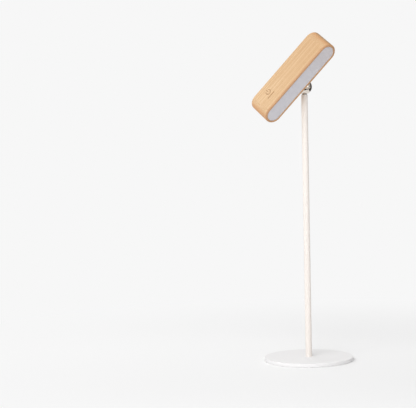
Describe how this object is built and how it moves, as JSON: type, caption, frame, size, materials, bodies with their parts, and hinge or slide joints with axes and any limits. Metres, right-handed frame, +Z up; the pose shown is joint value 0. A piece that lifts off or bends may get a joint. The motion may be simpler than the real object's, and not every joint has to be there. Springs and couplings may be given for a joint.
{
  "type": "magnetic balance lamp",
  "caption": "Rechargeable wooden bar lamp held by a magnet on a steel ball, on a slim round pole with a disc foot; the head swivels, tilts and spins on the ball.",
  "frame": {"origin": "centre of the underside of the round foot, on the surface it stands on", "axes": "+Z up along the pole, -Y towards the front from where the diffuser and the touch mark are both seen, +X to the right; at rest the head leans up to the right"},
  "size_m": [0.1521, 0.14, 0.5147],
  "materials": {
    "pale_wood": "pale fine-grained hardwood, satin oil",
    "white_coat": "white powder coat, matt",
    "ball_chrome": "polished chrome",
    "plated_steel": "zinc and nickel plated steel",
    "magnet_nickel": "nickel plated magnet",
    "diffuser_frost": "frosted translucent plastic, unlit",
    "white_plastic": "moulded, fine matt",
    "seat_nylon": "nylon, satin",
    "board_white": "white solder mask on aluminium",
    "board_green": "green solder mask on laminate",
    "chip_black": "moulded chip packages",
    "led_phosphor": "phosphor under clear silicone",
    "cell_wrap": "shrink-wrapped steel can",
    "nickel_strip": "nickel strip",
    "grey_foam": "closed-cell foam",
    "foot_pad": "non-slip silicone sheet, fine texture",
    "copper": "bare copper",
    "clear_pipe": "clear moulded light pipe",
    "lead_red": "silicone insulation",
    "lead_black": "silicone insulation",
    "lead_white": "silicone insulation"
  },
  "bodies": {
    "stand": {"base_pad": "foot_pad", "base_plate": "white_coat", "base_screw": "plated_steel", "pole_tube": "white_coat", "pole_foot_insert": "plated_steel", "pole_top_plug": "plated_steel", "ball_stud": "plated_steel"},
    "ball": {"steel_ball": "ball_chrome"},
    "seat": {"seat_ring": "seat_nylon"},
    "head": {"magnet_pot": "plated_steel", "seat_magnet": "magnet_nickel", "seat_screw": "plated_steel", "backing_plate": "plated_steel", "wood_housing": "pale_wood", "diffuser": "diffuser_frost", "chassis": "white_plastic", "chassis_screws": "plated_steel", "led_board": "board_white", "led_chips": "led_phosphor", "battery_cell": "cell_wrap", "battery_tabs": "nickel_strip", "battery_pads": "grey_foam", "control_board": "board_green", "board_screws": "plated_steel", "board_components": "chip_black", "usb_shell": "plated_steel", "usb_insert": "chip_black", "charge_light_pipe": "clear_pipe", "touch_pad": "copper", "touch_spring": "nickel_strip", "battery_lead_red": "lead_red", "battery_lead_black": "lead_black", "led_leads": "lead_white"}
  },
  "joints": [
    {"name": "swivel", "type": "hinge", "parent": "stand", "child": "ball", "pos_m": [0, 0, 0.431], "axis": [0, 0, 1], "continuous": true},
    {"name": "tilt", "type": "hinge", "parent": "ball", "child": "seat", "pos_m": [0, 0, 0.431], "axis": [0.788, -0.6157, 0], "range_deg": [-152, 28]},
    {"name": "spin", "type": "hinge", "parent": "seat", "child": "head", "pos_m": [0, 0, 0.431], "axis": [-0.5436, -0.6958, 0.4695], "continuous": true}
  ]
}
